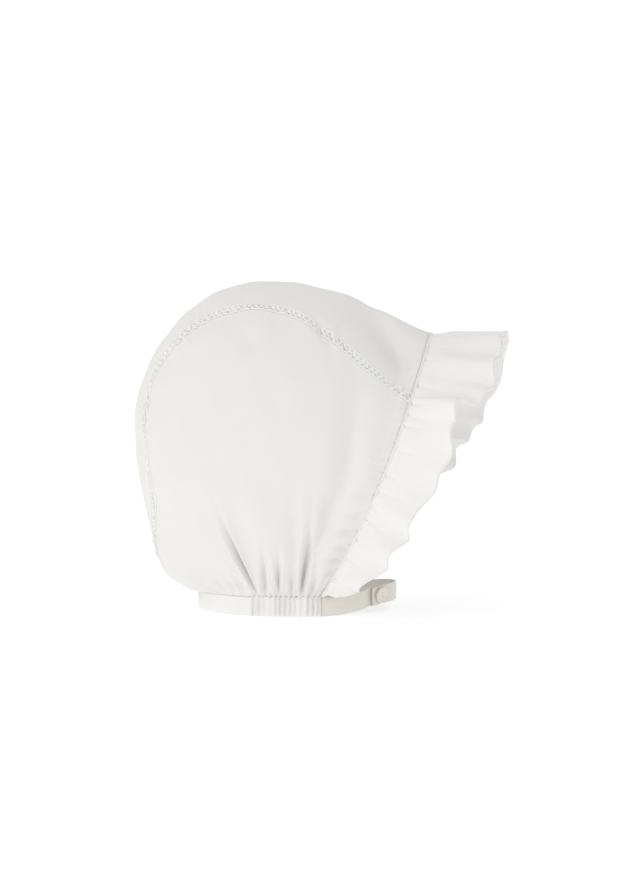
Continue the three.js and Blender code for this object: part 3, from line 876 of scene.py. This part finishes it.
def seam_stitches():
    """Short stitches on both sides of the face seam."""
    count = int(seam_length / seam_stitch_pitch)
    arch = 0.35 * np.cos(np.linspace(-1.2, 1.2, 4))[:, None]
    threads = []
    for offset in seam_stitch_rows:
        for k in range(count):
            share = np.linspace(-0.32, 0.32, 4) / count + (k + 0.5) / count
            point, tangent = seam_at(share)
            out = outward_from(point, tangent)
            threads.append((point + ahead * offset + out * (arch + 0.1), out, seam_stitch_radius))
    points, faces = tubes(threads, sides=5)
    make_piece("seam_stitches", points, faces, sewing_thread)


# Ruffle

ruffle_steps_per_wave = 40
ruffle_rows = 36
# How much lower the waves are at the top of the face, and over what share of the half seam
top_calm, top_calm_reach = 0.4, 0.3
# The hem's thicker edge: its place and half extent as shares of the width, and how much thicker it is
hem_place, hem_reach, hem_thicker = 0.985, 0.018, 0.9
# Ranges that the creases are drawn from. width, lean and scatter: shares of the seam. length: share of the
# ruffle's width. depth: millimetres.
crease_width, crease_length, crease_depth = (0.0018, 0.0035), (0.15, 0.8), (0.45, 1.25)
crease_lean, crease_scatter = 0.012, 0.008


def wave_at(place):
    """Turns of the ruffle's waves before a place, and how tall they are there."""
    waves, height = ruffle_waves * place, 1
    for cycles, size, tall, start in zip(*wave_swells.values()):
        rise = np.sin(2 * math.pi * (cycles * place + start))
        waves = waves + size * rise
        height = height + tall * rise
    calm = 1 - top_calm * hump(2 * place - 1, 0, top_calm_reach)
    return 2 * math.pi * waves, height * calm


def ruffle_point(place, out_share):
    """place: 0 at the right end, 1 at the left end. out_share: 0 at the seam, 1 at the free edge."""
    place, out_share = np.broadcast_arrays(np.asarray(place, float), np.asarray(out_share, float))
    start, tangent = seam_at(place)
    from_top = np.abs(2 * place - 1)
    outwards = outward_from(start, tangent)
    upwards = tangent * np.where(place < 0.5, 1, -1)[..., None]
    flare = column(frill, "place", "flare", from_top)
    width = ruffle_width * column(frill, "place", "width", from_top)
    for at, before, after, turn, under in zip(*curls.values()):
        share = hump(place, at, np.where(place < at, before, after))
        flare = flare + turn * share
        width = width * (1 - under * share)
    flare = np.radians(flare)[..., None]
    swing = np.radians(column(frill, "place", "swing", from_top))[..., None]
    flat = ahead * np.cos(swing) + upwards * np.sin(swing)
    direction = flat * np.cos(flare) + outwards * np.sin(flare)
    normal = -flat * np.sin(flare) + outwards * np.cos(flare)
    settle = 1 - smooth(wave_settle_share, 1, from_top)
    free = np.maximum(out_share, 0)
    rough = start + direction * (out_share * width)[..., None]
    turn, tall = wave_at(place)
    drift = 0.9 * swell(start, wavelength=60, seed=11) * free
    crest = 2 * ((1 + np.sin(turn + drift)) / 2) ** crease_power - 1
    wave = wave_depth * tall * crest * free**wave_growth * settle
    uneven = 0.8 * swell(rough, wavelength=24, seed=8) * smooth(0, 0.3, out_share)
    reach = seam_radius * 0.4 + out_share * (width + seam_radius * 0.6 + piece_gap)
    reach = reach + 0.9 * swell(start, wavelength=17, seed=12) * free**2
    height = wave + creases(place, free) + uneven
    return start + direction * reach[..., None] + normal * height[..., None]


def creases(place, free):
    """Short sharp creases that run out from the gathered seam, in millimetres."""
    rng = np.random.default_rng(5)
    depth = 0
    scatter = rng.normal(0, crease_scatter, crease_count)
    for middle in np.linspace(0.02, 0.98, crease_count) + scatter:
        wide = rng.uniform(*crease_width) * (1 + 2 * free)
        lean = rng.normal(0, crease_lean)
        length = rng.uniform(*crease_length)
        side = np.abs((place - middle - lean * free) / wide)
        depth = depth - rng.uniform(*crease_depth) * np.exp(-(side**1.3)) * hump(free, 0, length)
    return depth


def ruffle():
    place = np.linspace(0, 1, ruffle_waves * ruffle_steps_per_wave + 1)[:, None]
    out_share = np.linspace(0, 1, ruffle_rows + 1)[None, :]
    u = np.clip(place, 2 * small, 1 - 2 * small)
    v = np.clip(out_share, 2 * small, 1 - 2 * small)
    normal = normal_of(ruffle_point, u, v)
    middle = ruffle_point(place, out_share)
    hem = 1 + hem_thicker * hump(out_share, hem_place, hem_reach)
    half = (ruffle_wall / 2 * hem)[..., None]
    outer, inner = middle + normal * half, middle - normal * half
    cloth = cloth_piece("ruffle_cloth", outer, inner, frill_cotton, ["ruffle"])


# Neck band and elastic casings

band_middle = band_proud - band_wall / 2
casing_turn = casing_length / neck_arc_per_degree
gap_turn = piece_gap / neck_arc_per_degree
band_steps = 240
casing_steps = 300
section_points = 28
section_squareness = 4


def rounded_section(height, width):
    """Points round an upright rounded strip: offset outwards, height, and how far they face outwards."""
    turn = np.arange(section_points) * 2 * math.pi / section_points
    c, s = np.cos(turn), np.sin(turn)
    power = 2 / section_squareness
    out = width / 2 * np.sign(c) * np.abs(c) ** power
    up = height / 2 + height / 2 * np.sign(s) * np.abs(s) ** power
    return out, up, c


def strip_piece(name, points, run, up, material, replaces):
    """A strip of rounded sections, one for each row of points."""
    uv = np.stack(np.broadcast_arrays(run[:, None], up[None, :]), axis=-1).reshape(-1, 2)
    faces = sweep_faces(len(run), section_points)
    return make_piece(name, points.reshape(-1, 3), faces, material, replaces, uv)


def band_part(name, from_angle, to_angle, side, steps, puff, replaces, top_lap=piece_gap):
    height = band_height + top_lap
    angle = np.linspace(from_angle, to_angle, steps + 1)
    out, up, facing = rounded_section(height, band_wall)
    run = (angle - from_angle) * neck_arc_per_degree
    swelling = puff(run[:, None], up[None, :] / height)
    outset = band_middle + out[None, :] + swelling * np.sign(facing) * (np.abs(facing) ** 0.5)
    points = neck_point(angle[:, None], outset, up[None, :])
    points[..., 1] *= side
    return strip_piece(name, points, run, up, band_cotton, replaces)


def plain_puff(run, level):
    """The plain band's soft unevenness and the row of stitches below its top edge."""
    soft = 0.16 * np.sin(run / 4.7) + 0.1 * np.sin(run / 1.9 + 1) * level
    return soft - 0.3 * hump(level, 0.86, 0.05)


def ruched_puff(run, level):
    """A casing's ruches between its two rows of stitches."""
    ridge = 0.5 * np.cos(2 * math.pi * ruche_turn(run, level))
    height = 0.8 + 0.3 * np.sin(run / 2.3)
    belly = np.sin(math.pi * np.clip(level, 0.02, 0.98)) ** 0.5
    rows = -0.22 * hump(level, 0.9, 0.05) - 0.18 * hump(level, 0.14, 0.05)
    return ruche_depth * height * ridge * (0.6 + 0.5 * belly) + rows


def neck_parts():
    ruched = (face_corner + gap_turn, face_corner + casing_turn)
    half = nape_angle - (ruched[1] + gap_turn)
    plain = (nape_angle - half, nape_angle + half)
    band = band_part("neck_band_cloth", *plain, 1, band_steps, plain_puff, ["neck_band"])
    for name, side in both_sides:
        solid = f"elastic_casing_{name}"
        casing = band_part(
            f"casing_{name}", *ruched, side, casing_steps, ruched_puff, [solid], casing_top_lap
        )


# Chin strap: the loop in plan, from the right end of the band round the front to the left end.

strap_corner = neck_point(face_corner, band_middle, 0)
loop_steps = 60


def loop_curve(points):
    """A centripetal smooth curve through points."""
    points = np.asarray(points, float)
    before, after = 2 * points[0] - points[1], 2 * points[-1] - points[-2]
    around = np.vstack([before, points, after])
    line = []
    for k in range(1, len(points)):
        p0, p1, p2, p3 = around[k - 1 : k + 3]
        t0, t1, t2 = (np.linalg.norm(b - a) ** 0.5 for a, b in ((p0, p1), (p1, p2), (p2, p3)))
        m1 = ((p1 - p0) / t0 - (p2 - p0) / (t0 + t1) + (p2 - p1) / t1) * t1
        m2 = ((p2 - p1) / t1 - (p3 - p1) / (t1 + t2) + (p3 - p2) / t2) * t1
        t = np.linspace(0, 1, loop_steps, endpoint=False)[:, None]
        line.append(cubic(t, p1, m1, p2, m2))
    return np.vstack([*line, points[-1:]])


half_loop = np.stack(
    [strap_corner[0] + strap_plan["reach"] * strap_reach, -strap_plan["half"] * strap_corner[1]], axis=-1
)
loop_points = loop_curve(np.vstack([half_loop, half_loop[-2::-1] * [1, -1]]))
loop_run = run_along(loop_points)
loop_length = loop_run[-1]
loop_tangents = unit(np.gradient(loop_points, axis=0))
overlap_start = button_place - strap_end_past_button
strap_steps = 140
# The two rows of stitches along a strap's edges: levels, half extent and depth
strap_seam_levels, strap_seam_reach, strap_seam_depth = (0.88, 0.12), 0.035, 0.22


def strap_point(run, inset, height):
    x, y = at_run(run, loop_run, loop_points)
    tx, ty = at_run(run, loop_run, loop_tangents)
    lift = strap_lift * np.sin(math.pi * np.clip(run / loop_length, 0, 1)) ** 2
    return vectors(x - ty * inset, y + tx * inset, lift + height)


def strap(name, start, end, layer, replaces):
    """One end of the strap. layer: how far it lies inside the other one where they overlap."""
    run = np.linspace(start, end, strap_steps + 1)
    out, up, facing = rounded_section(strap_height, strap_wall)
    level = up / strap_height
    seams = sum(hump(level, row, strap_seam_reach) for row in strap_seam_levels)
    soft = 0.12 * np.sin(run[:, None] / 3.3 + 2 * level[None, :]) + 0.06 * np.sin(run[:, None] / 1.1)
    puff = (soft - strap_seam_depth * seams[None, :]) * np.sign(facing) * np.abs(facing) ** 0.5
    inset = layer * smooth(overlap_start - strap_turn, overlap_start, run)
    points = strap_point(run[:, None], inset[:, None] - out[None, :] - puff, up[None, :])
    return strip_piece(name, points, run, up, strap_cotton, replaces)


def straps():
    near_end = button_place + tab_end_past_button
    near = strap("strap_right", 0.1, near_end, layer_step, ["chin_strap_right"])
    far = strap("strap_left", overlap_start, loop_length - 0.1, 0, ["chin_strap_left"])


# Button: a turned body with four holes, on the strap's outer face.

button_sides = 64
hole_sides = 20
button_thread_radius = 0.17


def button_frame():
    """The middle of the button's back, the way it faces, and its level and upright directions."""
    seat, ahead_of_it = (
        strap_point(np.array(button_place, float), -strap_wall / 2 - gap, np.array(strap_height / 2))
        for gap in (piece_gap, 2)
    )
    facing = unit(ahead_of_it - seat)
    upright = np.array([0.0, 0.0, 1.0])
    return seat, facing, unit(np.cross(upright, facing)), upright


seat, facing, level_way, upright = button_frame()


def ring_round(centre, radius, sides):
    turn = np.arange(sides) * 2 * math.pi / sides
    return [centre + (level_way * math.cos(t) + upright * math.sin(t)) * radius for t in turn]


def button():
    points, faces = [seat], []
    for inset, height in zip(*button_profile.values()):
        radius = button_diameter / 2 - inset
        points += ring_round(seat + facing * height, radius, button_sides)
    points.append(seat + facing * button_face)
    rings = len(button_profile["inset"])
    last = 1 + (rings - 1) * button_sides
    for k in range(button_sides):
        after = (k + 1) % button_sides
        faces.append((0, 1 + after, 1 + k))
        for a in range(1, last, button_sides):
            b = a + button_sides
            faces.append((a + k, a + after, b + after, b + k))
        faces.append((last + k, last + after, len(points) - 1))
    body = make_piece("button_body", np.array(points), faces, shell_button, ["button"])
    cut_holes(body)


def hole_centres():
    half = button_hole_spacing / 2
    turned = math.radians(button_turn)
    spin = np.array([[math.cos(turned), -math.sin(turned)], [math.sin(turned), math.cos(turned)]])
    return [spin @ np.array([a * half, b * half]) for a, b in square_corners]


def cut_holes(body):
    beyond = 1.0
    radius = button_hole_diameter / 2
    points, faces = [], []
    for a, b in hole_centres():
        first = len(points)
        second = first + hole_sides
        for h in (-beyond, button_thickness + beyond):
            centre = seat + facing * h + level_way * a + upright * b
            points += ring_round(centre, radius, hole_sides)
        faces.append(list(range(first, second)))
        faces.append(list(range(second + hole_sides - 1, second - 1, -1)))
        for k in range(hole_sides):
            after = (k + 1) % hole_sides
            faces.append((first + k, second + k, second + after, first + after))
    mesh = bpy.data.meshes.new("hole_cutter")
    mesh.from_pydata(to_metres(np.array(points)).tolist(), [], faces)
    mesh.update()
    cutter = place_object("hole_cutter", mesh)
    cut = body.modifiers.new("holes", "BOOLEAN")
    cut.operation = "DIFFERENCE"
    cut.object = cutter
    cut.solver = "EXACT"
    evaluated = body.evaluated_get(bpy.context.evaluated_depsgraph_get())
    finished = bpy.data.meshes.new_from_object(evaluated)
    body.modifiers.clear()
    old = body.data
    body.data = finished
    finished.polygons.foreach_set("use_smooth", [True] * len(finished.polygons))
    bpy.data.objects.remove(cutter)
    bpy.data.meshes.remove(mesh)
    bpy.data.meshes.remove(old)


def button_thread():
    """Two pairs of threads, each from hole to hole across the button's face."""
    holes = hole_centres()
    share = np.linspace(0, 1, 9)
    height = button_face - 0.9 + 1.25 * np.sin(math.pi * share) ** 0.35
    outs = np.tile(facing, (len(share), 1))
    threads = []
    for first, second in ((0, 1), (3, 2)):
        for beside in (-0.16, 0.16):
            a, b = (holes[first][k] + (holes[second][k] - holes[first][k]) * share for k in range(2))
            route = level_way * a[:, None] + upright * (b + beside)[:, None]
            threads.append((seat + facing * height[:, None] + route, outs, button_thread_radius))
    points, faces = tubes(threads)
    make_piece("button_thread", points, faces, sewing_thread)


# Camera, floor and light

pixels_per_mm = 1.85
image_width, image_height = 640, 896
camera_azimuth, camera_elevation = 3.5, 6.5
nape_pixel, floor_pixel = 199.5, 606.5
camera_distance = 5000
sensor = 36
horizon_light, zenith_light = 0.82, 0.80
key_place, key_size, key_power = (-1.8, -2.0, 1.5), 1.6, 13
lit_middle = (0, 0, 0.08)
floor_half = 30
floor_colour, floor_glow = (0.55, 0.557, 0.575), 0.58


def make_camera():
    az, el = math.radians(camera_azimuth), math.radians(camera_elevation)
    right = np.array([math.cos(az), math.sin(az), 0])
    away = np.array([-math.sin(az), math.cos(az), 0])
    upright = away * math.sin(el) + np.array([0, 0, math.cos(el)])
    forward = away * math.cos(el) - np.array([0, 0, math.sin(el)])
    side = (image_width / 2 - nape_pixel) / pixels_per_mm
    rise = (floor_pixel - image_height / 2) / pixels_per_mm
    target = right * side + upright * rise
    data = bpy.data.cameras.new("camera")
    data.sensor_width = sensor
    data.lens = sensor * camera_distance / (image_height / pixels_per_mm)
    data.clip_start, data.clip_end = 0.1, 50
    camera = place_object("camera", data)
    camera.location = to_metres(target - forward * camera_distance)
    aim(camera, forward)
    bpy.context.scene.camera = camera


def make_floor():
    mesh = bpy.data.meshes.new("floor")
    corners = [(x * floor_half, y * floor_half, 0) for x, y in square_corners]
    mesh.from_pydata(corners, [], [(0, 1, 2, 3)])
    material, _, _, shader = principled("floor", floor_colour, roughness=0.9)
    set_inputs(shader, {"Emission Color": (1, 1, 1, 1), "Emission Strength": floor_glow})
    mesh.materials.append(material)
    place_object("floor", mesh)


def make_key_light():
    data = bpy.data.lights.new("key", "AREA")
    data.shape = "DISK"
    data.size = key_size
    data.energy = key_power
    lamp = place_object("key", data)
    lamp.location = key_place
    aim(lamp, Vector(lit_middle) - Vector(key_place))


def make_sky():
    """Light from all round, from the horizon's strength to the zenith's."""
    world = bpy.data.worlds.new("studio")
    world.use_nodes = True
    nodes, links = world.node_tree.nodes, world.node_tree.links
    place = add_node(nodes, "ShaderNodeTexCoord")
    apart = add_node(nodes, "ShaderNodeSeparateXYZ")
    strength = add_node(nodes, "ShaderNodeMapRange")
    set_inputs(strength, {"To Min": horizon_light, "To Max": zenith_light})
    links.new(place.outputs["Generated"], apart.inputs["Vector"])
    links.new(apart.outputs["Z"], strength.inputs["Value"])
    links.new(strength.outputs["Result"], nodes["Background"].inputs["Strength"])
    nodes["Background"].inputs["Color"].default_value = (1, 1, 1, 1)
    bpy.context.scene.world = world


make_camera()
make_floor()
make_sky()
make_key_light()
bpy.context.scene.view_settings.view_transform = "Standard"
face_seam()
seam_stitches()
shell_panels()
for where, side in both_sides:
    lace_strip(f"lace_strip_{where}", side, [f"lace_{where}"])


ruffle()
neck_parts()
straps()
button()
button_thread()
